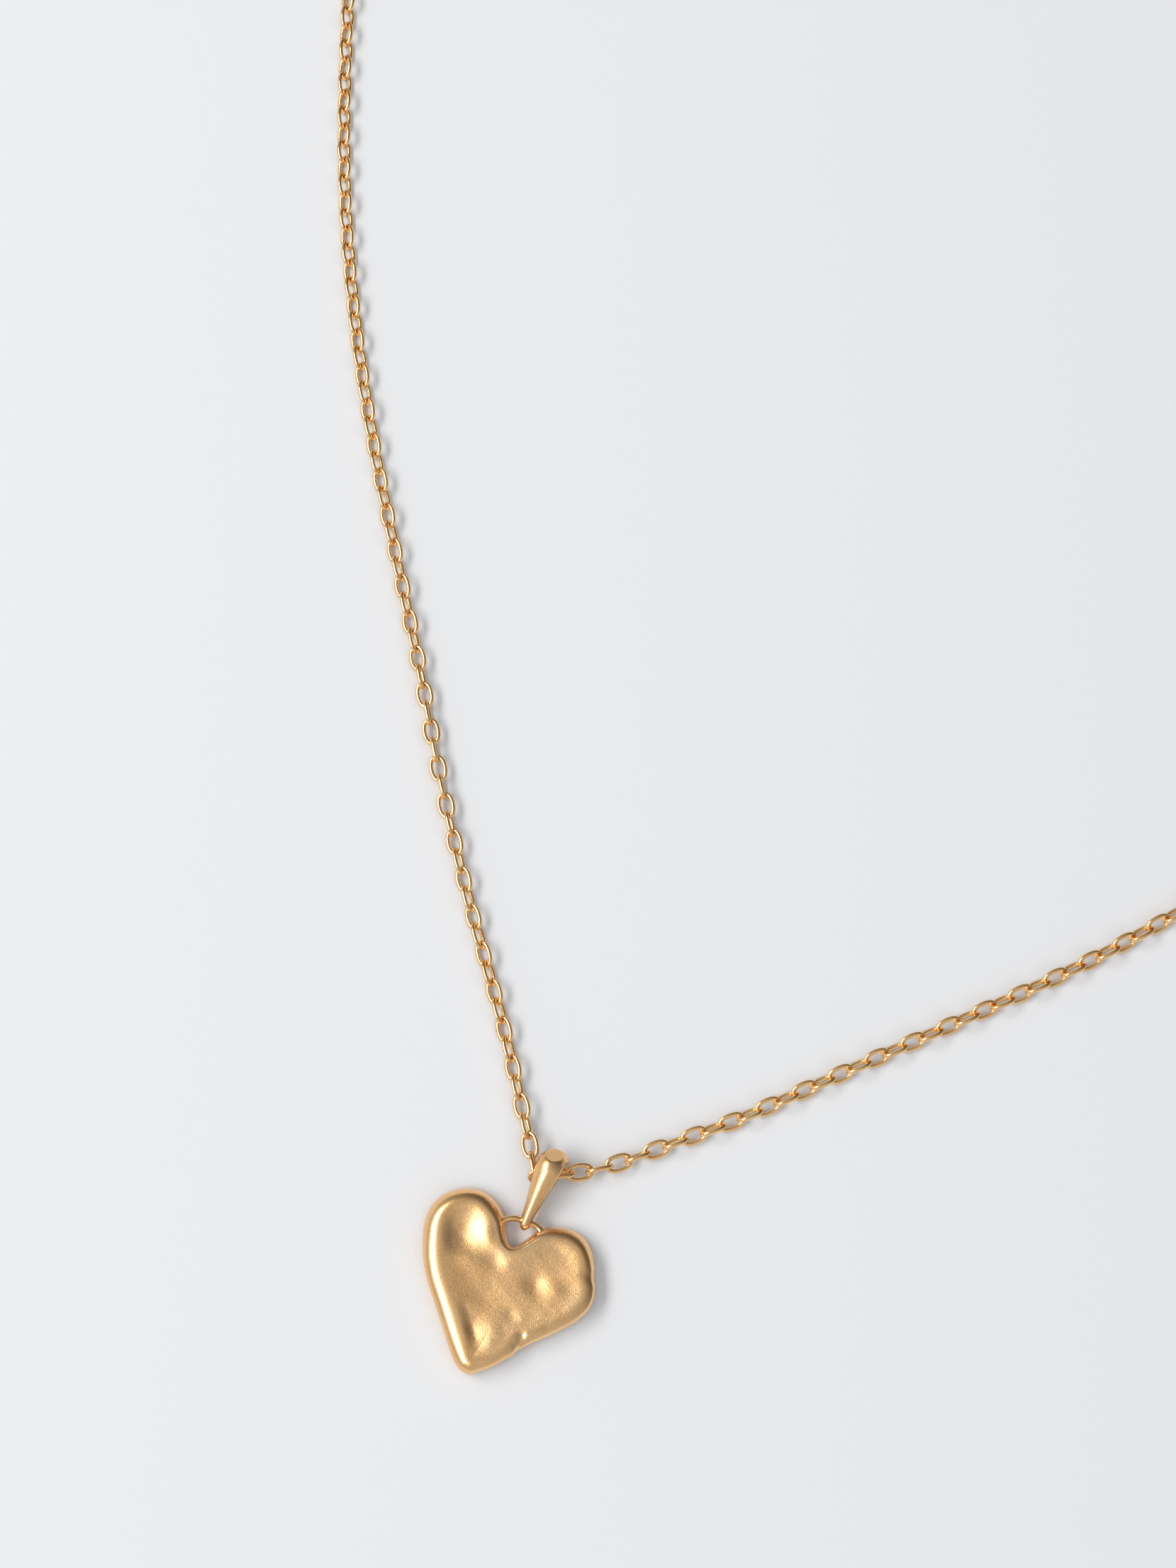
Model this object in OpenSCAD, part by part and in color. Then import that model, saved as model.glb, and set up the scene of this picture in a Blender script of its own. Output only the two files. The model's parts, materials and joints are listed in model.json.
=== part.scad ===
// Pendant necklace: a hand-formed heart on a tapered bail, an oval cable chain laid
// in its loop and left unclasped, a trigger clasp and an extender chain.
// Frame: +Z up, the table at z = 0, origin at the middle of the heart's flat back.
// The heart's notch points along +Y, so the chain runs away towards +Y.

/* [Heart pendant] */
// Height of the heart's rim above the table
heart_h = 2.2; // [1.8:0.1:2.6]
// Depth of the dish in the heart's front face
heart_dish = 0.35; // [0.1:0.05:0.5]
// Wire diameter of the soldered loop across the notch
loop_wire_d = 0.5; // [0.4:0.02:0.56]

/* [Bail] */
// Distance between the wire in the bail's foot and the middle of its head
bail_reach = 4.95; // [4.7:0.05:5.2]
// Outside radius of the bail's head, seen from the side
bail_head_r = 1.85; // [1.8:0.01:1.95]
// Thickness of the bail's sheet at the head
bail_sheet = 0.5; // [0.4:0.02:0.55]
// Width of the bail's head
bail_head_w = 2.4; // [2.2:0.1:2.5]
// Width of the bail's foot
bail_foot_w = 1.0; // [0.8:0.1:1.1]

/* [Chain] */
// Wire diameter of a chain link
wire_d = 0.38; // [0.34:0.01:0.39]
// Outside length of a chain link
link_len = 2.54; // [2.5:0.01:2.56]
// Outside width of a chain link
link_w = 1.64; // [1.6:0.02:1.7]

/* [Clasp and extender] */
// Wire diameter of the two jump rings
ring_wire_d = 0.55; // [0.5:0.01:0.56]
// Outside diameter of the two jump rings
ring_d = 3.4; // [3.3:0.1:3.5]
// Thickness of the clasp's body
clasp_t = 2.2; // [2:0.1:2.4]
// Diameter of the rivet that the clasp's lever turns on
rivet_d = 0.7; // [0.6:0.05:0.7]
// Wire diameter of an extender link
ext_wire_d = 0.5; // [0.45:0.01:0.5]

/* [Hidden] */
$fn = 32;

// Links in one rigid run of the chain
run_links = 15;

gold = "#d9a85c";
satin_gold = "#cfa468";
steel = "#b8b8bc";

// ---- Chain link: two half rings and two straight sides --------------------

half_l = (link_len - wire_d) / 2;
half_w = (link_w - wire_d) / 2;
play = 0.04;

// Distance between the middles of two links that hold each other
function link_pitch(half, d) = 2 * half - d - play;

pitch = link_pitch(half_l, wire_d);

module arc_wire(radius, from, sweep, d) {
    rotate([0, 0, from])
        rotate_extrude(angle = sweep)
            translate([radius, 0])
                circle(d = d);
}

module rod(from, along, length, d) {
    translate(from)
        rotate(along)
            cylinder(d = d, h = length);
}

// a and b are half the length and half the width of the wire's middle line
module oval_link(a, b, d) {
    for (half = [0, 180]) rotate([0, 0, half]) {
        translate([a - b, 0, 0])
            arc_wire(b, -90, 180, d);
        rod([b - a, b, 0], [0, 90, 0], 2 * (a - b), d);
    }
}

module chain_link() {
    oval_link(half_l, half_w, wire_d);
}

module round_ring(radius, d) {
    rotate_extrude()
        translate([radius, 0])
            circle(d = d);
}

// Puts a link at a point, along a heading, tipped up by slope and turned by roll
module place(at, heading, slope = 0, roll = 0) {
    translate(at)
        rotate([0, -slope, heading])
            rotate([roll, 0, 0])
                children();
}

// ---- Routes ---------------------------------------------------------------

// Where the two halves of the chain lie on the table
left_route = [[-0.4, 10.3], [-1.9, 12.9], [-4.2, 16.5], [-8.0, 22.3],
    [-14.3, 31.1], [-20.4, 40.3], [-26.1, 49.8], [-32.2, 59.5], [-38.2, 69.3],
    [-43.8, 79.5], [-48.9, 90.3], [-53.2, 101.4], [-57.0, 113.0], [-60.0, 126.0],
    [-61.0, 139.0], [-60.0, 152.0], [-57.0, 165.0], [-51.5, 177.0], [-44.0, 188.0],
    [-36.0, 197.0], [-26.0, 204.5]];
right_route = [[2.4, 11.4], [4.5, 12.6], [6.7, 14.3], [9.4, 16.6], [14.9, 21.3],
    [20.3, 26.5], [25.7, 31.7], [31.2, 37.0], [36.6, 42.3], [42.0, 48.1],
    [49.0, 56.5], [56.0, 67.0], [61.5, 79.0], [65.0, 92.0], [66.5, 105.0],
    [66.5, 118.0], [65.0, 131.0], [61.5, 144.0], [56.0, 156.5], [49.5, 168.0],
    [43.5, 179.5], [40.0, 191.0], [38.5, 204.0], [39.0, 217.0], [41.5, 230.0],
    [45.5, 242.0], [49.0, 249.0]];

// Turn of every other link about the chain's line, by distance along each half
left_turns = [[0, 82], [2, 78], [4, 66], [10, 58], [20, 54], [28, 60], [36, 86],
    [42, 84], [50, 62], [70, 52], [85, 47], [110, 45], [130, 55], [150, 40], [180, 50], [230, 45]];
right_turns = [[0, 15], [3, 8], [6, 14], [9, 22], [14, 30], [30, 33], [60, 36],
    [90, 30], [120, 50], [160, 38], [200, 48], [260, 40]];

// How far the chain's line stands above where it would rest on the table
left_rise = [[0, 0.94], [1.7, 0.58], [4, 0.3], [7, 0.1], [10, 0], [199, 0], [203, 0.15],
    [207, 0.8], [240, 0.8]];
right_rise = [[0, 0.66], [1.7, 0.4], [4, 0.15], [7, 0], [199, 0], [203, 0.15], [207, 0.8],
    [240, 0.8]];

route_steps = 10;

function blend(a, b, c, d, t) =
    0.5 * (2 * b + (c - a) * t + (2 * a - 5 * b + 4 * c - d) * t * t
        + (3 * b - a - 3 * c + d) * t * t * t);

function around(p, i) =
    i < 0 ? 2 * p[0] - p[1] : i >= len(p) ? 2 * p[i - 1] - p[i - 2] : p[i];

function smooth(p) = concat(
    [for (i = [0:len(p) - 2], k = [0:route_steps - 1])
        blend(around(p, i - 1), p[i], p[i + 1], around(p, i + 2), k / route_steps)],
    [p[len(p) - 1]]);

function lengths(p) =
    [for (i = 0, s = 0; i < len(p);
        i = i + 1, s = s + (i < len(p) ? norm(p[i] - p[i - 1]) : 0)) s];

left_line = smooth(left_route);
right_line = smooth(right_route);
left_s = lengths(left_line);
right_s = lengths(right_line);
left_x = [for (i = [0:len(left_s) - 1]) [left_s[i], left_line[i][0]]];
left_y = [for (i = [0:len(left_s) - 1]) [left_s[i], left_line[i][1]]];
right_x = [for (i = [0:len(right_s) - 1]) [right_s[i], right_line[i][0]]];
right_y = [for (i = [0:len(right_s) - 1]) [right_s[i], right_line[i][1]]];

// Half height of a link or ring of half width b and wire d when it is rolled
function reach_up(roll, b, d) = d / 2 + b * abs(sin(roll));

table_gap = 0.01;

function rest_height(roll, b, d) =
    max(reach_up(roll, b, d), reach_up(roll + 90, b, d)) + table_gap;

function link_height(turn, rise) = rest_height(turn, half_w, wire_d) + rise;

function left_at(s) = [lookup(s, left_x), lookup(s, left_y),
    link_height(lookup(s, left_turns), lookup(s, left_rise))];

function right_at(s) = [lookup(s, right_x), lookup(s, right_y),
    link_height(lookup(s, right_turns), lookup(s, right_rise))];

function heading(from, to) = atan2(to[1] - from[1], to[0] - from[0]);

function slope(from, to) =
    atan2(to[2] - from[2], norm([to[0] - from[0], to[1] - from[1]]));

// Lays its children between two points, pointing from the first to the second
module lay(from, to, roll = 0) {
    place((from + to) / 2, heading(from, to), slope(from, to), roll) children();
}

module left_run(run) {
    color(gold)
        for (n = [(run - 1) * run_links : run * run_links - 1]) {
            s = (n + 0.5) * pitch;
            lay(left_at(s - pitch / 2), left_at(s + pitch / 2),
                lookup(s, left_turns) + (n % 2) * 90)
                chain_link();
        }
}

module right_run(run) {
    color(gold)
        for (n = [(run - 1) * run_links : run * run_links - 1]) {
            s = (n + 0.5) * pitch;
            lay(right_at(s - pitch / 2), right_at(s + pitch / 2),
                lookup(s, right_turns) + (n % 2) * 90)
                chain_link();
        }
}

// The distance along each half at which the end wire of its last link stands
chain_end = (8 * run_links - 0.5) * pitch + half_l;

// ---- Heart ----------------------------------------------------------------

// Outside of the heart, anticlockwise from the notch, and the edge of its front face
heart_rim = [[-0.2, 3.9], [-0.9, 4.6], [-1.5, 5.8], [-2.4, 6.8], [-3.9, 7.5],
    [-5.5, 7.3], [-7.1, 6.3], [-8.0, 4.6], [-8.0, 3.0], [-7.3, 0.9], [-6.1, -1.1],
    [-4.6, -3.0], [-3.0, -5.0], [-1.6, -6.7], [-0.4, -7.5], [0.6, -7.3], [1.8, -6.2],
    [3.0, -4.8], [3.7, -3.7], [4.9, -2.7], [6.7, -0.9], [7.8, 0.8], [7.9, 2.5],
    [7.3, 4.0], [6.9, 5.2], [5.9, 6.4], [4.4, 7.0], [2.9, 6.8], [1.6, 6.1], [0.7, 4.9]];
heart_face = [[-0.1, 3.5], [-0.9, 3.9], [-1.7, 4.9], [-2.4, 6.0], [-3.9, 6.6],
    [-5.4, 6.5], [-6.6, 5.6], [-7.2, 4.1], [-7.1, 2.7], [-6.4, 0.7], [-5.4, -1.0],
    [-4.1, -2.7], [-2.7, -4.5], [-1.4, -6.1], [-0.4, -6.8], [0.4, -6.4], [1.2, -5.5],
    [2.1, -4.2], [2.7, -3.0], [4.0, -2.3], [5.6, -0.7], [6.8, 1.3], [6.9, 2.7],
    [6.5, 4.0], [6.1, 5.0], [5.2, 5.9], [4.1, 6.3], [2.9, 6.1], [1.9, 5.4], [0.8, 4.1]];
rim_steps = 3;

function wrap(p, i) = p[(i + len(p)) % len(p)];

function closed_smooth(p, steps) =
    [for (i = [0:len(p) - 1], k = [0:steps - 1])
        blend(wrap(p, i - 1), p[i], wrap(p, i + 1), wrap(p, i + 2), k / steps)];

rim_line = closed_smooth(heart_rim, rim_steps);
face_line = closed_smooth(heart_face, rim_steps);
rim_n = len(rim_line);

// Height of the front face at a point: a shallow dish with a few soft dents
function dent(p, at, size, depth) =
    let (d = norm(p - at) / size) depth * exp(-d * d);

function face_z(p, k) =
    heart_h - 0.1 - heart_dish * (1 - k * k)
        - dent(p, [-2.4, 3.2], 1.3, 0.16) - dent(p, [3.6, 1.6], 1.1, 0.14)
        + dent(p, [0.2, 0.4], 1.6, 0.12) - dent(p, [-1.0, -3.4], 1.2, 0.1);

function ring(line, grow, z) = [for (p = line) [p[0] * grow, p[1] * grow, z]];

function face_ring(k) =
    [for (p = face_line) [p[0] * k, p[1] * k, face_z(p * k, k)]];

function mid_ring(t, z) =
    [for (i = [0:rim_n - 1])
        let (p = rim_line[i] * (1 - t) + face_line[i] * t) [p[0], p[1], z]];

function ring_sides(from, to) =
    [for (i = [0:rim_n - 1]) let (j = (i + 1) % rim_n)
        each [[from + i, to + j, from + j], [from + i, to + i, to + j]]];

module heart_body() {
    rings = [ring(rim_line, 0.93, 0), ring(rim_line, 0.985, 0.3),
        ring(rim_line, 1, 0.9), mid_ring(0.06, 1.5), mid_ring(0.4, heart_h - 0.22),
        mid_ring(0.75, heart_h), face_ring(1), face_ring(0.75), face_ring(0.5),
        face_ring(0.25)];
    top = len(rings) * rim_n;
    points = concat([for (r = rings) each r],
        [[0, 0, face_z([0, 0], 0)], [0, -1.2, 0]]);
    faces = concat(
        [for (r = [0:len(rings) - 2]) each ring_sides(r * rim_n, (r + 1) * rim_n)],
        [for (i = [0:rim_n - 1]) [top, top - rim_n + (i + 1) % rim_n, top - rim_n + i]],
        [for (i = [0:rim_n - 1]) [top + 1, i, (i + 1) % rim_n]]);
    polyhedron(points = points, faces = faces);
}

module heart_pendant() {
    color(satin_gold) heart_body();
}

// ---- Loop on the heart, and bail ------------------------------------------

bail_x = 0.35;
bail_lean = -3;
loop_y = 6.2;
loop_z = 1.25;
loop_left = -1.0;
loop_right = 1.4;

module heart_loop() {
    color(gold) {
        rod([loop_left, loop_y, loop_z], [0, 90, 0], loop_right - loop_left, loop_wire_d);
        translate([loop_left, loop_y - 0.6, loop_z])
            arc_wire(0.6, 90, 62, loop_wire_d);
        translate([loop_right, loop_y - 0.6, loop_z])
            arc_wire(0.6, 45, 45, loop_wire_d);
    }
}

bail_foot_r = 0.8;
bail_head_z = bail_head_r;
foot_hole_r = 0.33;
head_hole_r = bail_head_r - bail_sheet;

function arc_points(at, r, from, to, steps) =
    [for (i = [0:steps]) let (turn = from + (to - from) * i / steps)
        at + r * [cos(turn), sin(turn)]];

// Two circles and the flat sides that join them, in the plane of y and z
module teardrop(foot_r, head_r) {
    apart = norm([bail_reach, bail_head_z - loop_z]);
    tilt = atan2(bail_head_z - loop_z, bail_reach);
    open = acos((foot_r - head_r) / apart);
    polygon(concat(
        arc_points([0, loop_z], foot_r, tilt + open, tilt + 360 - open, 12),
        arc_points([bail_reach, bail_head_z], head_r, tilt - open, tilt + open, 24)));
}

module side_cut(w) {
    rotate([90, 0, 90])
        linear_extrude(w, center = true)
            children();
}

module bail() {
    color(satin_gold)
        place([bail_x, loop_y, 0], bail_lean)
            difference() {
                intersection() {
                    side_cut(bail_head_w + 1) teardrop(bail_foot_r, bail_head_r);
                    translate([0, 0, -1]) linear_extrude(2 * bail_head_r + 2)
                        polygon([[-bail_foot_w / 2, -bail_foot_r - 0.1],
                            [bail_foot_w / 2, -bail_foot_r - 0.1],
                            [bail_head_w / 2, bail_reach + 0.6],
                            [bail_head_w / 2 - 0.5, bail_reach + bail_head_r + 0.1],
                            [0.5 - bail_head_w / 2, bail_reach + bail_head_r + 0.1],
                            [-bail_head_w / 2, bail_reach + 0.6]]);
                }
                side_cut(bail_head_w + 2) teardrop(foot_hole_r - 0.05, head_hole_r);
                rod([-bail_head_w, 0, loop_z], [0, 90, 0], 2 * bail_head_w, 2 * foot_hole_r);
            }
}

// The two links that lie inside the bail
centre_heading = 25;
centre_pitch = 1.62;
centre_at = [0.95, 10.78, 1.45];

module chain_centre() {
    color(gold)
        for (side = [-1, 1])
            place(centre_at
                    + side * centre_pitch / 2 * [cos(centre_heading), sin(centre_heading), 0],
                centre_heading, 0, side > 0 ? -60 : 35)
                chain_link();
}

// ---- Clasp ----------------------------------------------------------------

ring_r = (ring_d - ring_wire_d) / 2;
ring_roll = 60;
ring_z = reach_up(ring_roll, ring_r, ring_wire_d);

// Distance from a wire that pulls to the middle of the ring it pulls on
function hooked(wire, ring_wire, radius) = radius - (wire + ring_wire) / 2 - play;

ring_s = chain_end + hooked(wire_d, ring_wire_d, ring_r);
ring_far = ring_s + ring_r;

function left_xyz(s, z) = [lookup(s, left_x), lookup(s, left_y), z];

function right_xyz(s, z) = [lookup(s, right_x), lookup(s, right_y), z];

module clasp_ring() {
    color(gold)
        lay(left_xyz(ring_s - 1, ring_z), left_xyz(ring_s + 1, ring_z), ring_roll)
            round_ring(ring_r, ring_wire_d);
}

eye_r = 1.3;
eye_hole_r = 0.95;
eye_t = 0.6;
mouth_at = [6.4, 0];
mouth_r = 1.45;
claw_r = 2.6;
nose_angle = 38;
pivot_at = [3.75, 1.0];
// Just short of the inner corner of the claw's nose, so the lever swings past it
lever_reach = norm(mouth_at + mouth_r * [cos(nose_angle), sin(nose_angle)] - pivot_at) - 0.06;
lever_t = 0.9;
slot_t = 1.0;
// The clasp's own origin is the end of its eye; x runs to its nose.
// The ring's far side stands in the middle of the eye
clasp_s = ring_far - eye_r;

module on_clasp() {
    lay(left_xyz(clasp_s, clasp_t / 2), left_xyz(clasp_s, clasp_t / 2)
        + left_xyz(clasp_s + 9, 0) - left_xyz(clasp_s, 0))
        translate([-norm(left_xyz(clasp_s + 9, 0) - left_xyz(clasp_s, 0)) / 2, 0, 0])
            children();
}

module slab(t) {
    linear_extrude(t, center = true) children();
}

module wedge(from, to, r) {
    translate(mouth_at)
        polygon([[0, 0], r * [cos(from), sin(from)],
            r * 1.3 * [cos((from + to) / 2), sin((from + to) / 2)], r * [cos(to), sin(to)]]);
}

module clasp_body() {
    color(gold) on_clasp() difference() {
        union() {
            slab(clasp_t) difference() {
                union() {
                    translate(mouth_at) circle(r = claw_r);
                    polygon([[2.3, -0.9], [4.4, -1.65], [5.6, -2.4], [5.6, 2.4],
                        [4.4, 2.0], [3.1, 1.75], [2.3, 0.9]]);
                }
                translate(mouth_at) circle(r = mouth_r);
                wedge(nose_angle, 128, 4);
            }
            slab(eye_t) difference() {
                translate([eye_r, 0]) circle(r = eye_r);
                translate([eye_r, 0]) circle(r = eye_hole_r);
            }
        }
        translate([4.2, 1.6, 0]) cube([3.4, 4.2, slot_t], center = true);
        translate(pivot_at) cylinder(d = rivet_d + 0.02, h = clasp_t + 1, center = true);
    }
}

module clasp_lever() {
    color(gold) on_clasp() difference() {
        slab(lever_t) {
            intersection() {
                difference() {
                    union() {
                        translate(mouth_at) circle(r = claw_r - 0.1);
                        translate(mouth_at) rotate(118)
                            translate([claw_r + 0.2, 0]) circle(r = 0.75);
                    }
                    translate(mouth_at) circle(r = mouth_r + 0.1);
                }
                wedge(nose_angle + 4, 152, 4);
                translate(pivot_at) circle(r = lever_reach);
            }
            translate(pivot_at) circle(r = 0.85);
        }
        translate(pivot_at) cylinder(d = rivet_d + 0.1, h = clasp_t, center = true);
    }
}

module lever_rivet() {
    color(gold) on_clasp()
        translate(pivot_at) cylinder(d = rivet_d, h = clasp_t, center = true);
}

spring_wire_d = 0.3;

module lever_spring() {
    color(steel) on_clasp() {
        rod([2.95, -0.3, 0], [0, 90, 0], 1.6, spring_wire_d);
        translate([2.95, 0, 0]) arc_wire(0.3, 180, 90, spring_wire_d);
    }
}

// ---- Extender -------------------------------------------------------------

ext_half_l = 1.55;
ext_half_w = 1.05;
ext_roll = 45;
ext_pitch = link_pitch(ext_half_l, ext_wire_d);
ext_links = 6;
ext_first = ring_far - (ring_wire_d + ext_wire_d) / 2 - play + ext_half_l;
ext_z = rest_height(ext_roll, ext_half_w, ext_wire_d);
// The first extender links come down from the jump ring
ext_heights = [[ext_first - ext_half_l, ring_z], [ext_first + 3, ext_z], [300, ext_z]];

module extender_ring() {
    color(gold)
        lay(right_xyz(ring_s - 1, ring_z), right_xyz(ring_s + 1, ring_z), ring_roll)
            round_ring(ring_r, ring_wire_d);
}

function ext_at(s) = right_xyz(s, lookup(s, ext_heights));

module extender_run(run) {
    color(gold)
        for (n = [(run - 1) * ext_links : run * ext_links - 1]) {
            s = ext_first + n * ext_pitch;
            lay(ext_at(s - ext_pitch / 2), ext_at(s + ext_pitch / 2),
                ext_roll + (n % 2) * 90 - 90)
                oval_link(ext_half_l, ext_half_w, ext_wire_d);
        }
}

drop_ring_r = 1.0;
drop_wire_d = 0.4;
drop_ball_r = 1.5;
drop_eye_r = 0.55;
drop_eye_d = 0.35;
drop_ring_s = ext_first + (3 * ext_links - 1) * ext_pitch + ext_half_l
    + hooked(ext_wire_d, drop_wire_d, drop_ring_r);
drop_eye_s = drop_ring_s + drop_ring_r + hooked(drop_wire_d, drop_eye_d, drop_eye_r);

module drop_ring() {
    color(gold)
        lay(right_xyz(drop_ring_s - 1, ext_z), right_xyz(drop_ring_s + 1, ext_z + 0.1),
            -ext_roll)
            round_ring(drop_ring_r, drop_wire_d);
}

module end_drop() {
    color(satin_gold)
        lay(right_xyz(drop_eye_s - 1, ext_z), right_xyz(drop_eye_s + 1, 1.37), ext_roll) {
            round_ring(drop_eye_r, drop_eye_d);
            translate([drop_eye_r + drop_ball_r - 0.1, 0, 0]) sphere(r = drop_ball_r);
        }
}

// ---- Nodes ----------------------------------------------------------------

heart_pendant();
heart_loop();
bail();
chain_centre();
left_run(1);  // chain_left_1
left_run(2);  // chain_left_2
left_run(3);  // chain_left_3
left_run(4);  // chain_left_4
left_run(5);  // chain_left_5
left_run(6);  // chain_left_6
left_run(7);  // chain_left_7
left_run(8);  // chain_left_8
right_run(1);  // chain_right_1
right_run(2);  // chain_right_2
right_run(3);  // chain_right_3
right_run(4);  // chain_right_4
right_run(5);  // chain_right_5
right_run(6);  // chain_right_6
right_run(7);  // chain_right_7
right_run(8);  // chain_right_8
clasp_ring();
clasp_body();
clasp_lever();
lever_rivet();
lever_spring();
extender_ring();
extender_run(1);  // extender_1
extender_run(2);  // extender_2
extender_run(3);  // extender_3
drop_ring();
end_drop();
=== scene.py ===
"""Looks of the pendant necklace: a satin heart on a tapered bail and an oval cable chain.

Lengths in the making functions are in millimetres, in the row's own frame.
"""

import json
import math

import bpy
import numpy as np
from mathutils import Matrix, Vector


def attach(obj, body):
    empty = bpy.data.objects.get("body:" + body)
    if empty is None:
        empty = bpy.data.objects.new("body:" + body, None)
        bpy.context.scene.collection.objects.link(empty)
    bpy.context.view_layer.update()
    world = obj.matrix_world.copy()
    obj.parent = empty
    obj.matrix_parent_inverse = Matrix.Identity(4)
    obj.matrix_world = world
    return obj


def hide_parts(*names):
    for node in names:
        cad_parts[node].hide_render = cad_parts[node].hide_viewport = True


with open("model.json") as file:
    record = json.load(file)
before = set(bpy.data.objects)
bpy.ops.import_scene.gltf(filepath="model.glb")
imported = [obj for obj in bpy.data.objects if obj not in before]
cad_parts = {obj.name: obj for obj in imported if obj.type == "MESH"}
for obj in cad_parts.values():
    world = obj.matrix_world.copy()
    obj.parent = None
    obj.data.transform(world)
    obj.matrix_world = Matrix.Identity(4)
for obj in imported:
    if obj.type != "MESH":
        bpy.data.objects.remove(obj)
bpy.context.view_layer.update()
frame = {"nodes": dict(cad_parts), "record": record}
MM = 0.001


# ---- Camera, floor and light ------------------------------------------------

VIEW_TURN = math.radians(20)         # round the table
VIEW_TILT = math.radians(75.8)       # above the table
VIEW_DISTANCE = 274.0
VIEW_POINT = (-8.11, 44.86, 0.0)     # place on the table in the middle of the frame
LENS = 70.3
LONG_SIDE = 36.0

# Where the light comes from: across and away from the camera's side of the table, and up
KEY_FROM = (-0.62, 0.02, 0.78)
KEY_WATTS = 8.8
KEY_SIZE = (1.1, 0.32)
KEY_COLOUR = (1.0, 0.985, 0.96)
FILL_FROM = (0.3, -0.2, 0.9)
FILL_STRENGTH = 1.15
FILL_SPREAD = math.radians(75)
FILL_COLOUR = (0.97, 0.985, 1.0)
DARK_SIDE = (0.62, 0.62, 0.0)
DARKENING = (-0.2, 0.75)             # cosines to the dark side where the room's fading starts and ends
ROOM_BRIGHT = 0.58
ROOM_DARK = 0.13
ROOM_COLOUR = (0.97, 0.98, 1.0, 1)
BACKDROP_COLOUR = (0.80, 0.81, 0.82, 1)
FLOOR_COLOUR = (0.612, 0.620, 0.634, 1)
FLOOR_SIZE = 12
FLOOR_PLACE = (0, 0.1, -0.00002)     # a hair below the necklace


def view_axes():
    """The camera's right, up and forward directions."""
    c, s = math.cos(VIEW_TURN), math.sin(VIEW_TURN)
    ce, se = math.cos(VIEW_TILT), math.sin(VIEW_TILT)
    return Vector((c, s, 0)), Vector((-s * se, c * se, ce)), Vector((-s * ce, c * ce, -se))


def make_camera():
    right, up, forward = view_axes()
    data = bpy.data.cameras.new("camera")
    data.lens = LENS
    data.sensor_width = LONG_SIDE
    data.clip_start = 0.01
    data.clip_end = 20
    camera = bpy.data.objects.new("camera", data)
    axes = Matrix((right, up, -forward)).transposed().to_4x4()
    place = (Vector(VIEW_POINT) - VIEW_DISTANCE * forward) * MM
    camera.matrix_world = Matrix.Translation(place) @ axes
    bpy.context.scene.collection.objects.link(camera)
    bpy.context.scene.camera = camera


def from_view(across, away, height):
    """A direction given across and away from the camera's side of the table, and up."""
    c, s = math.cos(VIEW_TURN), math.sin(VIEW_TURN)
    return Vector((c * across - s * away, s * across + c * away, height)).normalized()


def make_light(name, kind, direction, strength, colour):
    data = bpy.data.lights.new(name, kind)
    data.energy = strength
    data.color = colour
    light = bpy.data.objects.new(name, data)
    light.location = Vector(VIEW_POINT) * MM + direction
    light.rotation_mode = "QUATERNION"
    light.rotation_quaternion = (-direction).to_track_quat("-Z", "Y")
    bpy.context.scene.collection.objects.link(light)
    return light


def make_world():
    """A room that is darker behind, on the right, and lights the metal. The camera sees a
    plain backdrop past the floor's end instead."""
    world = bpy.data.worlds.new("studio")
    bpy.context.scene.world = world
    world.use_nodes = True
    tree = world.node_tree
    room = tree.nodes["Background"]
    room.inputs["Color"].default_value = ROOM_COLOUR
    place = tree.nodes.new("ShaderNodeTexCoord")
    toward = tree.nodes.new("ShaderNodeVectorMath")
    toward.operation = "DOT_PRODUCT"
    toward.inputs[1].default_value = from_view(*DARK_SIDE)
    level = add(tree, "ShaderNodeMapRange", From_Min=DARKENING[0], From_Max=DARKENING[1],
                To_Min=ROOM_BRIGHT, To_Max=ROOM_DARK)
    tree.links.new(place.outputs["Generated"], toward.inputs[0])
    tree.links.new(toward.outputs["Value"], level.inputs["Value"])
    tree.links.new(level.outputs["Result"], room.inputs["Strength"])
    backdrop = tree.nodes.new("ShaderNodeBackground")
    backdrop.inputs["Color"].default_value = BACKDROP_COLOUR
    path = tree.nodes.new("ShaderNodeLightPath")
    mix = tree.nodes.new("ShaderNodeMixShader")
    tree.links.new(path.outputs["Is Camera Ray"], mix.inputs["Fac"])
    tree.links.new(room.outputs[0], mix.inputs[1])
    tree.links.new(backdrop.outputs[0], mix.inputs[2])
    tree.links.new(mix.outputs[0], tree.nodes["World Output"].inputs["Surface"])


def make_floor():
    material = bpy.data.materials.new("floor_paint")
    material.use_nodes = True
    shader = material.node_tree.nodes["Principled BSDF"]
    shader.inputs["Base Color"].default_value = FLOOR_COLOUR
    shader.inputs["Roughness"].default_value = 0.75
    shader.inputs["Specular IOR Level"].default_value = 0.2
    bpy.ops.mesh.primitive_plane_add(size=FLOOR_SIZE, location=FLOOR_PLACE)
    floor = bpy.context.object
    floor.name = "floor"
    floor.data.materials.append(material)


def make_studio():
    bpy.context.scene.view_settings.view_transform = "Standard"
    make_world()
    make_floor()
    key = make_light("key", "AREA", from_view(*KEY_FROM), KEY_WATTS, KEY_COLOUR)
    key.data.shape = "RECTANGLE"
    key.data.size, key.data.size_y = KEY_SIZE
    fill = make_light("fill", "SUN", from_view(*FILL_FROM), FILL_STRENGTH, FILL_COLOUR)
    fill.data.angle = FILL_SPREAD
    fill.visible_glossy = False


# ---- Materials --------------------------------------------------------------

def add(tree, kind, **inputs):
    """A new node, with its input sockets set by name, spaces written as _."""
    node = tree.nodes.new(kind)
    for socket, value in inputs.items():
        node.inputs[socket.replace("_", " ")].default_value = value
    return node


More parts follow.
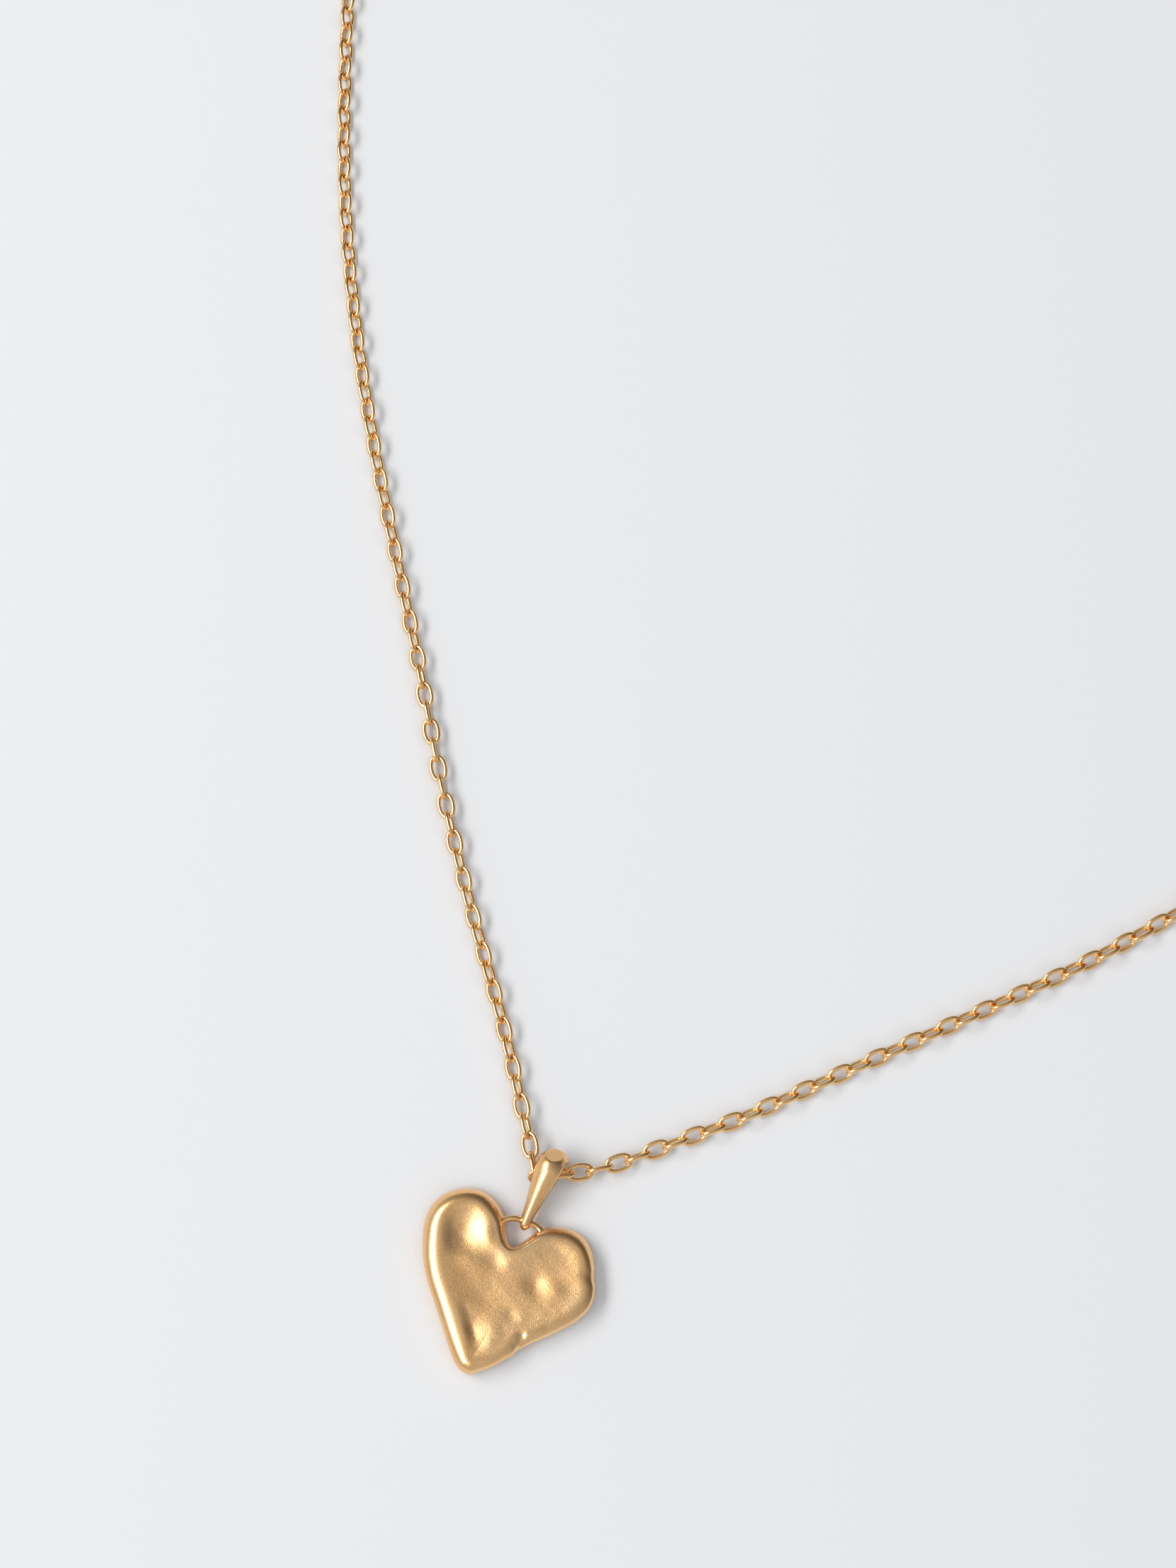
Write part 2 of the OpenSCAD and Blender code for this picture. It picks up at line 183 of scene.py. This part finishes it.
def ramp(tree, source, low, high, from_low=0.3, from_high=0.7):
    """Maps a 0 to 1 texture onto low to high."""
    node = add(tree, "ShaderNodeMapRange", From_Min=from_low, From_Max=from_high,
               To_Min=low, To_Max=high)
    tree.links.new(source, node.inputs["Value"])
    return node.outputs["Result"]


def noise(tree, size, detail=2.0):
    """Object-space noise whose blobs are about size mm across."""
    place = add(tree, "ShaderNodeTexCoord")
    node = add(tree, "ShaderNodeTexNoise", Scale=0.6 / (size * MM), Detail=detail)
    tree.links.new(place.outputs["Object"], node.inputs["Vector"])
    return node.outputs["Fac"]


def tinted(tree, fac, dark, light):
    node = add(tree, "ShaderNodeMix")
    node.data_type = "RGBA"
    node.inputs["A"].default_value = (*dark, 1)
    node.inputs["B"].default_value = (*light, 1)
    tree.links.new(fac, node.inputs["Factor"])
    return node.outputs["Result"]


def bump(tree, height, distance, strength):
    node = add(tree, "ShaderNodeBump", Distance=distance * MM, Strength=strength)
    tree.links.new(height, node.inputs["Height"])
    return node.outputs["Normal"]


def new_metal(name):
    material = bpy.data.materials.new(name)
    material.use_nodes = True
    tree = material.node_tree
    shader = tree.nodes["Principled BSDF"]
    shader.inputs["Metallic"].default_value = 1.0
    return material, tree, shader


def polished_gold():
    """Bright plate with faint colour clouds, drawing marks and worn, duller patches."""
    material, tree, shader = new_metal("polished_gold")
    clouds = noise(tree, 1.4)
    marks = noise(tree, 0.11, 3)
    colour = tinted(tree, ramp(tree, clouds, 0, 1), (0.98, 0.58, 0.24), (1.0, 0.67, 0.32))
    tree.links.new(colour, shader.inputs["Base Color"])
    tree.links.new(ramp(tree, noise(tree, 0.5), 0.12, 0.20), shader.inputs["Roughness"])
    tree.links.new(bump(tree, marks, 0.004, 0.5), shader.inputs["Normal"])
    return material


def satin_gold():
    """Frosted plate: a sparkling grain over soft colour clouds.
    The vertex attribute polish is 1 where the metal is burnished smooth."""
    material, tree, shader = new_metal("satin_gold")
    polish = add(tree, "ShaderNodeAttribute")
    polish.attribute_name = "polish"
    frost = add(tree, "ShaderNodeMath")
    frost.operation = "SUBTRACT"
    frost.inputs[0].default_value = 1.0
    tree.links.new(polish.outputs["Fac"], frost.inputs[1])
    clouds = tinted(tree, ramp(tree, noise(tree, 2.2, 3), 0, 1), (0.98, 0.59, 0.26), (1.0, 0.67, 0.35))
    speckle = tinted(tree, ramp(tree, noise(tree, 0.07, 2), 0, 1, 0.35, 0.65),
                     (0.86, 0.81, 0.76), (1.0, 1.0, 1.0))
    colour = add(tree, "ShaderNodeMix", Factor=1.0)
    colour.data_type = "RGBA"
    colour.blend_type = "MULTIPLY"
    tree.links.new(clouds, colour.inputs["A"])
    tree.links.new(speckle, colour.inputs["B"])
    tree.links.new(colour.outputs["Result"], shader.inputs["Base Color"])
    grain_rough = ramp(tree, noise(tree, 0.10, 2), 0.30, 0.42)
    rough = add(tree, "ShaderNodeMix")
    tree.links.new(polish.outputs["Fac"], rough.inputs["Factor"])
    tree.links.new(grain_rough, rough.inputs["A"])
    rough.inputs["B"].default_value = 0.24
    tree.links.new(rough.outputs["Result"], shader.inputs["Roughness"])
    grain = add(tree, "ShaderNodeMath")
    grain.operation = "MULTIPLY"
    tree.links.new(noise(tree, 0.065, 2), grain.inputs[0])
    tree.links.new(frost.outputs[0], grain.inputs[1])
    tree.links.new(bump(tree, grain.outputs[0], 0.021, 0.8), shader.inputs["Normal"])
    return material


def spring_steel():
    material, tree, shader = new_metal("spring_steel")
    colour = tinted(tree, noise(tree, 0.3), (0.52, 0.53, 0.55), (0.66, 0.66, 0.68))
    tree.links.new(colour, shader.inputs["Base Color"])
    tree.links.new(ramp(tree, noise(tree, 0.2), 0.25, 0.4), shader.inputs["Roughness"])
    return material


# ---- Mesh helpers -----------------------------------------------------------

def ring_quads(rows, cols, wrap=False):
    """Quads between closed rings of cols points each; wrap joins the last ring to the first."""
    r, c = np.meshgrid(np.arange(rows if wrap else rows - 1), np.arange(cols), indexing="ij")
    nxt = (r + 1) % rows
    quads = [r * cols + c, r * cols + (c + 1) % cols, nxt * cols + (c + 1) % cols, nxt * cols + c]
    return np.stack(quads, -1).reshape(-1, 4)


def make_piece(name, points, faces, material, body, replaces=(), polish=None):
    """A smooth-shaded mesh from points in mm, riding on a body in place of CAD nodes."""
    mesh = bpy.data.meshes.new(name)
    mesh.from_pydata((np.asarray(points) * MM).tolist(), [], [list(f) for f in faces])
    mesh.update()
    mesh.shade_smooth()
    if polish is not None:
        mesh.attributes.new("polish", "FLOAT", "POINT").data.foreach_set("value", polish)
    mesh.materials.append(material)
    piece = bpy.data.objects.new(name, mesh)
    bpy.context.scene.collection.objects.link(piece)
    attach(piece, body)
    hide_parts(*replaces)


def closed_spline(points, steps):
    """Catmull-Rom curve through a closed list of points."""
    p = np.asarray(points, float)
    a, c, d = np.roll(p, 1, 0), np.roll(p, -1, 0), np.roll(p, -2, 0)
    t = (np.arange(steps) / steps)[None, :, None]
    a, b, c, d = a[:, None], p[:, None], c[:, None], d[:, None]
    curve = 0.5 * (2 * b + (c - a) * t + (2 * a - 5 * b + 4 * c - d) * t ** 2
                   + (3 * b - a - 3 * c + d) * t ** 3)
    return curve.reshape(-1, p.shape[1])


def smooth_step(x, low, high):
    t = np.clip((x - low) / (high - low), 0, 1)
    return t * t * (3 - 2 * t)


def tube(path, radii, sides=16):
    """Rings of points round an open path, each with its own radius, closed at both ends."""
    path = np.asarray(path, float)
    along = np.gradient(path, axis=0)
    along /= np.linalg.norm(along, axis=1)[:, None]
    up = np.array([0, 0, 1.0])
    side = np.cross(along, up)
    side /= np.linalg.norm(side, axis=1)[:, None]
    over = np.cross(side, along)
    turn = np.arange(sides) * 2 * np.pi / sides
    radii = np.broadcast_to(radii, len(path))[:, None, None]
    rings = path[:, None] + radii * (np.cos(turn)[None, :, None] * side[:, None]
                                     + np.sin(turn)[None, :, None] * over[:, None])
    points = np.concatenate([rings.reshape(-1, 3), path[[0, -1]]])
    faces = ring_quads(len(path), sides).tolist()
    last, first_mid, last_mid = (len(path) - 1) * sides, len(points) - 2, len(points) - 1
    faces += [[first_mid, (i + 1) % sides, i] for i in range(sides)]
    faces += [[last_mid, last + i, last + (i + 1) % sides] for i in range(sides)]
    return points, faces


# ---- Links and rings --------------------------------------------------------

def solids_of(node):
    """Centre, axes (long, wide, thin) and half sizes in mm of each solid in a CAD node."""
    mesh = frame["nodes"][node].data
    co = np.empty(len(mesh.vertices) * 3, np.float32)
    mesh.vertices.foreach_get("co", co)
    co = co.reshape(-1, 3).astype(float) / MM
    mesh.calc_loop_triangles()
    tris = np.empty(len(mesh.loop_triangles) * 3, np.int32)
    mesh.loop_triangles.foreach_get("vertices", tris)
    _, weld = np.unique(np.round(co, 4), axis=0, return_inverse=True)
    tris = tris.reshape(-1, 3)
    joined = weld.reshape(-1)[tris]
    label = np.arange(joined.max() + 1)
    while True:
        low = label[joined].min(1)
        new = label.copy()
        for k in range(3):
            np.minimum.at(new, joined[:, k], low)
        new = new[new]
        if (new == label).all():
            break
        label = new
    found = []
    for one in np.unique(label[joined[:, 0]]):
        corners = co[tris[label[joined[:, 0]] == one]]
        area = np.linalg.norm(np.cross(corners[:, 1] - corners[:, 0],
                                       corners[:, 2] - corners[:, 0]), axis=1)
        middle = corners.mean(1)
        centre = (area[:, None] * middle).sum(0) / area.sum()
        spread = ((middle - centre) * area[:, None]).T @ (middle - centre)
        axes = np.linalg.eigh(spread)[1].T[::-1]
        long, thin = axes[0] * np.sign(axes[0][1]), axes[2] * np.sign(axes[2][2])
        axes = np.array([long, np.cross(thin, long), thin])
        half = np.abs((corners.reshape(-1, 3) - centre) @ axes.T).max(0)
        found.append((centre, axes, half))
    return found


OVAL = 2.35            # 2 is an ellipse, more is squarer
FLATTEN = 2.2          # the same for the wire's section
CHAIN_SWELL = 1.04     # rendered wire over the CAD's
EXTENDER_SWELL = 0.95
SEAM_SWELL = 0.07      # height and half length of the solder seam, over the wire's radius
SEAM_REACH = 0.7
LINK_STEPS = 48
WIRE_SIDES = 14


def power(x, n):
    return np.sign(x) * np.abs(x) ** (2 / n)


def link_points(half, swell):
    """An oval link of flattened wire with a faint solder seam on one side."""
    wire = swell * half[2]
    t = (np.arange(LINK_STEPS) + 0.5) * 2 * np.pi / LINK_STEPS
    line = np.stack([(half[0] - wire) * power(np.cos(t), OVAL),
                     (half[1] - wire) * power(np.sin(t), OVAL)], 1)
    along = np.roll(line, -1, 0) - np.roll(line, 1, 0)
    along /= np.linalg.norm(along, axis=1)[:, None]
    out = np.stack([along[:, 1], -along[:, 0]], 1)
    seam = 1 + SEAM_SWELL * np.exp(-(line[:, 0] / (SEAM_REACH * wire)) ** 2) * (line[:, 1] > 0)
    turn = np.arange(WIRE_SIDES) * 2 * np.pi / WIRE_SIDES
    u, v = wire * power(np.cos(turn), FLATTEN), wire * power(np.sin(turn), FLATTEN)
    flat = line[:, None] + out[:, None] * (u[None, :] * seam[:, None])[..., None]
    thick = v[None, :] * seam[:, None]
    return np.concatenate([flat, thick[..., None]], -1).reshape(-1, 3)


def make_links(node, body, material, swell):
    """One oval link on each of a CAD node's solids, as one piece."""
    points, faces = [], []
    quads = ring_quads(LINK_STEPS, WIRE_SIDES, wrap=True)
    for centre, axes, half in solids_of(node):
        faces.append(quads + sum(len(p) for p in points))
        points.append(link_points(half, swell) @ axes + centre)
    make_piece("links_" + node, np.concatenate(points), np.concatenate(faces),
               material, body, (node,))


# ---- Heart ------------------------------------------------------------------

# Outside of the heart and the edge of its front face, anticlockwise from the notch
HEART_RIM = [
    (-0.2, 3.9), (-0.6, 4.2), (-1.0, 4.9), (-1.4, 5.7), (-1.9, 6.4), (-2.8, 7.1), (-3.9, 7.5),
    (-5.1, 7.45), (-6.3, 6.95), (-7.3, 6.1), (-7.9, 4.9), (-8.0, 3.5), (-7.65, 2.0),
    (-7.0, 0.4), (-6.1, -1.1), (-5.0, -2.5), (-3.8, -4.0), (-2.6, -5.5), (-1.6, -6.7),
    (-0.9, -7.3), (-0.3, -7.5), (0.3, -7.45), (0.9, -7.0), (1.8, -6.25), (2.6, -5.35),
    (3.15, -4.7), (3.38, -4.2), (3.75, -3.8), (4.3, -3.25), (5.1, -2.5), (6.1, -1.5),
    (7.1, -0.4), (7.8, 0.8), (8.0, 1.9), (7.8, 2.95), (7.42, 3.75), (7.2, 4.5), (6.8, 5.4),
    (6.1, 6.3), (5.2, 6.85), (4.1, 7.05), (3.0, 6.85), (2.1, 6.5), (1.4, 5.9), (0.8, 4.95),
    (0.3, 4.25)]
HEART_FACE = [
    (-0.15, 3.35), (-1.05, 3.7), (-1.7, 4.5), (-2.15, 5.2), (-2.7, 5.65), (-3.35, 6.05),
    (-4.1, 6.3), (-4.85, 6.2), (-5.6, 5.8), (-6.2, 5.2), (-6.5, 4.4), (-6.45, 3.5), (-6.1, 2.35),
    (-5.55, 1.1), (-4.8, -0.2), (-3.75, -1.5), (-2.55, -3.0), (-1.4, -4.5), (-0.65, -5.65),
    (-0.35, -6.15), (-0.15, -6.35), (0.1, -6.4), (0.5, -6.25), (1.4, -5.75), (2.2, -4.9),
    (2.6, -4.2), (2.7, -3.7), (3.1, -3.25), (3.95, -2.75), (4.75, -2.1), (5.75, -1.1),
    (6.65, -0.1), (7.2, 1.0), (7.35, 1.9), (7.15, 2.75), (6.7, 3.5), (6.4, 4.25), (5.95, 4.9),
    (5.4, 5.5), (4.8, 5.75), (4.1, 5.85), (3.3, 5.75), (2.65, 5.55), (2.05, 5.2), (1.4, 4.5),
    (0.7, 3.75)]
# Stretches of that edge which are pulled further from the outside: first and last place, and mm
FACE_PULLS = [(22, 36, 0.1), (25, 35, 0.1)]
# Height at which the wall starts to round over into the front face, at the same places
HEART_WALL = (
    [0.9, 0.8, 0.6, 0.5] + [0.35] * 7 + [0.6, 0.8, 1.0] + [1.1] * 4 + [1.0, 0.9, 0.9, 1.0, 1.2]
    + [1.4] * 12 + [1.2, 1.0, 0.6] + [0.4] * 6 + [0.5, 0.7])
# Squareness of that rounding: 2 is a quarter ellipse
HEART_BEND = [2.0] * 10 + [2.1] + [2.2] * 9 + [2.1] * 3 + [2.0] * 12 + [2.1] * 3 + [2.0] * 8
# Soft dents (depth below 0) and swellings of the front face: place, spread and height
HEART_DENTS = [
    ((-4.7, 3.6), (1.5, 1.7), -0.30),
    ((-2.3, 4.3), (1.0, 1.2), 0.12),
    ((-3.4, 1.5), (1.5, 0.8), 0.09),
    ((-1.0, 2.2), (0.9, 0.8), -0.09),
    ((0.1, 2.2), (0.8, 0.7), 0.05),
    ((2.8, 1.5), (0.9, 0.9), -0.16),
    ((4.7, 1.5), (0.8, 0.8), 0.08),
    ((3.4, 5.1), (0.8, 0.7), -0.05),
    ((-0.6, -1.0), (1.5, 1.2), -0.07),
    ((-2.2, -2.6), (0.7, 0.6), -0.08),
    ((-1.2, -4.1), (1.0, 1.2), -0.24),
    ((0.9, -4.0), (0.9, 1.2), 0.12),
    ((1.8, -1.6), (0.6, 0.6), -0.06),
    ((2.9, -1.6), (0.5, 0.45), 0.02),
]
# Pinches that also bend the edge: one end, other end, half width and depth
HEART_FOLDS = [
    ((3.7, -4.4), (3.3, -3.0), 0.34, -0.42),
    ((7.5, 3.75), (6.6, 3.7), 0.45, -0.08),
    ((5.6, -2.3), (5.1, -1.5), 0.45, -0.06),
]
HEART_TOP = 2.15
HEART_DISH = 0.15
DISH_EDGE = 1.2        # mm from the edge over which the dish deepens
WAVE_HEIGHT = 0.006
FINE_WAVE_HEIGHT = 0.002
FAR_INSIDE = 9.0       # mm inside the face's edge, where the dish is at its full depth
BACK_MIDDLE = (0, -1.0, 0)
# Rings of the back and the wall: mm inside the rim, and height over the wall's
WALL_RINGS = ((1.1, 0.0), (0.45, 0.0), (0.25, 0.08), (0.1, 0.3), (0.02, 0.6), (0.0, 0.8))
ROUND_STEPS = 24
FACE_STEPS = 64
SPLINE_STEPS = 14


def hammered(x, y):
    """Small irregular waves of the cast surface."""
    waves = WAVE_HEIGHT * np.sin(2.9 * x + 1.3 * np.sin(1.7 * y)) * np.sin(2.3 * y + 0.8)
    fine = FINE_WAVE_HEIGHT * np.sin(6.1 * x + 2.0 * np.sin(4.3 * y) + 1.0) * np.sin(5.2 * y - 1.9 * x)
    return waves + fine


def face_height(points, inward):
    """Height of the front face at points that lie inward mm inside its edge."""
    x, y = points[..., 0], points[..., 1]
    z = HEART_TOP - HEART_DISH * (1 - np.exp(-(inward / DISH_EDGE) ** 1.8))
    inside = smooth_step(inward, 0.0, 1.0)
    for (cx, cy), (sx, sy), height in HEART_DENTS:
        z = z + inside * height * np.exp(-((x - cx) / sx) ** 2 - ((y - cy) / sy) ** 2)
    return z + inside * hammered(x, y)


def folded(points):
    """How far the pinches push down the heart's upper surface at points."""
    push = 0
    for start, end, wide, depth in HEART_FOLDS:
        start, along = np.array(start), np.array(end) - np.array(start)
        t = np.clip((points[:, :2] - start) @ along / (along @ along), 0, 1)
        away = np.linalg.norm(points[:, :2] - start - t[:, None] * along, axis=1)
        push = push + depth * (1 - 0.7 * t) * np.exp(-(away / wide) ** 2)
    return push * (points[:, 2] / HEART_TOP) ** 2


def face_edge():
    """The edge of the front face, with its pulled stretches."""
    face = np.array(HEART_FACE)
    pull = np.zeros((len(face), 1))
    for first, last, mm in FACE_PULLS:
        pull[first:last + 1] += mm
    away = face - np.array(HEART_RIM)
    return face + pull * away / np.linalg.norm(away, axis=1)[:, None]


def heart_mesh():
    """Rings from the flat back up the wall, over the rounding and in to the face's middle."""
    rim = closed_spline(HEART_RIM, SPLINE_STEPS)
    face = closed_spline(face_edge(), SPLINE_STEPS)
    wall, bend = closed_spline(np.stack([HEART_WALL, HEART_BEND], 1), SPLINE_STEPS).T
    n = len(rim)
    size = np.linalg.norm(rim, axis=1)[:, None]
    rings, polish = [], []

    def add_ring(flat, z, shine):
        rings.append(np.concatenate([flat, np.broadcast_to(z, n)[:, None]], 1))
        polish.append(np.broadcast_to(shine, n))

    for inset, z in WALL_RINGS:
        add_ring(rim * (1 - inset / size), z * wall, 1.0)
    for turn in np.linspace(0, math.pi / 2, ROUND_STEPS)[:-1]:
        t = (1 - math.cos(turn) ** (2 / bend))[:, None]
        z = wall + (HEART_TOP - wall) * math.sin(turn) ** (2 / bend)
        add_ring(rim * (1 - t) + face * t, z, 1 - 0.3 * t.mean())
    for k in 1 - np.linspace(0, 1, FACE_STEPS)[:-1] ** 1.25:
        flat = face * k
        inward = np.linalg.norm(flat[:, None] - face[None], axis=2).min(1)
        add_ring(flat, face_height(flat, inward), 0.7 * np.exp(-(inward / 0.3) ** 2))
    points = np.concatenate(rings)
    faces = ring_quads(len(rings), n).tolist()
    centre_top, centre_back = len(points), len(points) + 1
    top = face_height(np.zeros((1, 2)), np.array([FAR_INSIDE]))[0]
    points = np.concatenate([points, [[0, 0, top], BACK_MIDDLE]])
    points[:, 2] += folded(points)
    last = (len(rings) - 1) * n
    faces += [[centre_top, last + i, last + (i + 1) % n] for i in range(n)]
    faces += [[centre_back, (i + 1) % n, i] for i in range(n)]
    return points, faces, np.concatenate(polish + [[0.0, 1.0]])


def make_heart(satin):
    points, faces, polish = heart_mesh()
    make_piece("heart", points, faces, satin, "heart", ("heart_pendant",), polish)


# ---- Loop on the heart ------------------------------------------------------

LOOP_STEPS = 60
LOOP_R = 0.26
LOOP_FLARE = 0.22      # added at the soldered ends, fading over this share of the length
FLARE_REACH = 0.12
LOOP_SMOOTHING = 6


def make_loop(polished):
    """Wire across the notch, flared where it is soldered to the two lobes."""
    route = np.array([(-1.95, 5.35, 1.1), (-1.62, 5.72, 1.2), (-1.25, 6.02, 1.26),
                      (-0.8, 6.22, 1.28), (-0.2, 6.27, 1.28), (0.4, 6.27, 1.28),
                      (0.95, 6.27, 1.28), (1.35, 6.2, 1.26), (1.7, 6.0, 1.2),
                      (2.0, 5.7, 1.1)])
    t = np.linspace(0, len(route) - 1, LOOP_STEPS)
    path = np.stack([np.interp(t, range(len(route)), route[:, k]) for k in range(3)], 1)
    for _ in range(LOOP_SMOOTHING):
        path[1:-1] = (path[:-2] + 2 * path[1:-1] + path[2:]) / 4
    steps = np.arange(LOOP_STEPS)
    ends = np.minimum(steps, steps[::-1]) / LOOP_STEPS
    radii = LOOP_R + LOOP_FLARE * np.exp(-(ends / FLARE_REACH) ** 2)
    points, faces = tube(path, radii)
    make_piece("loop", points, faces, polished, "heart", ("heart_loop",))


# ---- Bail -------------------------------------------------------------------

BAIL_FOOT = (0.22, 6.25, 1.27)   # middle of the loop wire inside the bail's foot
BAIL_REACH = 4.95
BAIL_HEAD_Z = 1.83
BAIL_LEAN = math.radians(-7)
BAIL_ROLL = math.radians(-12)
FOOT_R = 0.74
HEAD_R = 1.83
DRAFT = math.tan(math.radians(33))
FACET_TILT = math.radians(43)
FACET_DEPTH = 0.25
CROWN = 0.4                      # height of the strap's rounded front over its half width
FOOT_HALF_WIDTH = 0.28
WIDENING = 0.70                  # added to the half width by the head
LEAST_THICK = 0.38
EDGE_THICK = 0.32
EDGE_ROUND = 0.05
FRONT_POINTS = 21                # across the strap's front, and then its inside
INSIDE_POINTS = 7
FOOT_STEPS = 40
SIDE_STEPS = 30
HEAD_STEPS = 70
FRONT_POLISH = 0.55              # least polish of the front, and the polish of the rest
INSIDE_POLISH = 0.8


def bail_stations():
    """Outer line of the bail in its own plane (along, up), its outward normals, and how far
    each point is from the foot (0) to the head (1). The line runs from under the foot round
    its end, over the front to the head and back underneath."""
    rise = BAIL_HEAD_Z - BAIL_FOOT[2]
    apart = math.hypot(BAIL_REACH, rise)
    tilt = math.atan2(rise, BAIL_REACH)
    open_ = math.acos((FOOT_R - HEAD_R) / apart)
    foot, head = np.array([0, BAIL_FOOT[2]]), np.array([BAIL_REACH, BAIL_HEAD_Z])
    foot_turns = np.linspace(tilt + 2 * math.pi - open_, tilt + open_, FOOT_STEPS)[:-1]
    head_turns = np.linspace(tilt + open_, tilt - open_, HEAD_STEPS)[1:-1]
    turns = np.concatenate([foot_turns, np.full(SIDE_STEPS, tilt + open_),
                            head_turns, np.full(SIDE_STEPS, tilt - open_)])
    shares = np.concatenate([np.zeros(len(foot_turns)), np.linspace(0, 1, SIDE_STEPS),
                             np.ones(len(head_turns)), np.linspace(1, 0, SIDE_STEPS)])[:, None]
    normals = np.stack([np.cos(turns), np.sin(turns)], 1)
    line = (foot + FOOT_R * normals) * (1 - shares) + (head + HEAD_R * normals) * shares
    return line, normals, shares[:, 0]


def strap_section(half, thick, crown, under):
    """The strap's section as (across, depth) points: front, right side, inside, left side."""
    edge = EDGE_ROUND
    back = half + (thick - crown) * DRAFT * (1 - under)
    v = np.linspace(-1, 1, FRONT_POINTS)
    front = np.stack([v * (half - edge), crown * v ** 2 * ((half - edge) / half) ** 2], 1)
    right = np.array([[half - 0.25 * edge, crown + 0.25 * edge], [half + 0.3 * edge, crown + edge],
                      [(half + back) / 2, (crown + thick) / 2], [back, thick - edge],
                      [back - edge, thick]])
    inside = np.stack([np.linspace(back - 3 * edge, 3 * edge - back, INSIDE_POINTS),
                       np.full(INSIDE_POINTS, thick)], 1)
    left = right[::-1] * [-1, 1]
    return np.concatenate([front, right, inside, left])


def bail_mesh():
    line, normals, shares = bail_stations()
    under = smooth_step(-normals[:, 1], -0.3, 0.8)
    half = (FOOT_HALF_WIDTH + WIDENING * shares ** 1.25) * (1 - 0.5 * under)
    crown = CROWN * half
    thick = np.maximum(LEAST_THICK, crown + EDGE_THICK * (1 - 0.4 * under))
    section = np.array([strap_section(*one) for one in zip(half, thick, crown, under)])
    across, depth = section[..., 0], section[..., 1]
    own = np.stack([across, line[:, None, 0] - normals[:, None, 0] * depth,
                    line[:, None, 1] - normals[:, None, 1] * depth], -1)
    facet = np.array([0, math.sin(FACET_TILT), math.cos(FACET_TILT)])
    middle = np.array([0, BAIL_REACH, BAIL_HEAD_Z])
    proud = np.maximum(0, (own - middle) @ facet - (HEAD_R - FACET_DEPTH))
    own = own - proud[..., None] * facet
    polish = np.maximum(smooth_step(proud, 0.0, 0.02), FRONT_POLISH)
    polish[:, FRONT_POINTS:] = INSIDE_POLISH
    own = own.reshape(-1, 3) - [0, 0, BAIL_HEAD_Z]
    c, s = math.cos(BAIL_ROLL), math.sin(BAIL_ROLL)
    own = own @ np.array([[c, 0, -s], [0, 1, 0], [s, 0, c]])
    c, s = math.cos(BAIL_LEAN), math.sin(BAIL_LEAN)
    own = own @ np.array([[c, s, 0], [-s, c, 0], [0, 0, 1]])
    points = own + [BAIL_FOOT[0], BAIL_FOOT[1], BAIL_HEAD_Z]
    return points, ring_quads(*section.shape[:2], wrap=True), polish.reshape(-1)


def make_bail(satin):
    points, faces, polish = bail_mesh()
    make_piece("bail_strap", points, faces, satin, "bail", ("bail",), polish)


# ---- The whole necklace -----------------------------------------------------

make_camera()
make_studio()
SATIN, POLISHED, STEEL = satin_gold(), polished_gold(), spring_steel()
make_heart(SATIN)
make_loop(POLISHED)
make_bail(SATIN)
BODY_OF = {node: body for body, nodes in frame["record"]["behaviour"]["bodies"].items()
           for node in nodes}
for node, body in BODY_OF.items():
    if node.startswith("chain"):
        make_links(node, body, POLISHED, CHAIN_SWELL)
    elif node.startswith("extender_") and node != "extender_ring":
        make_links(node, body, POLISHED, EXTENDER_SWELL)
for node in ("clasp_ring", "extender_ring", "drop_ring", "clasp_body", "clasp_lever",
             "lever_rivet", "lever_spring", "end_drop"):
    cad = frame["nodes"][node]
    cad.data.materials.clear()
    cad.data.materials.append(STEEL if node == "lever_spring" else POLISHED)
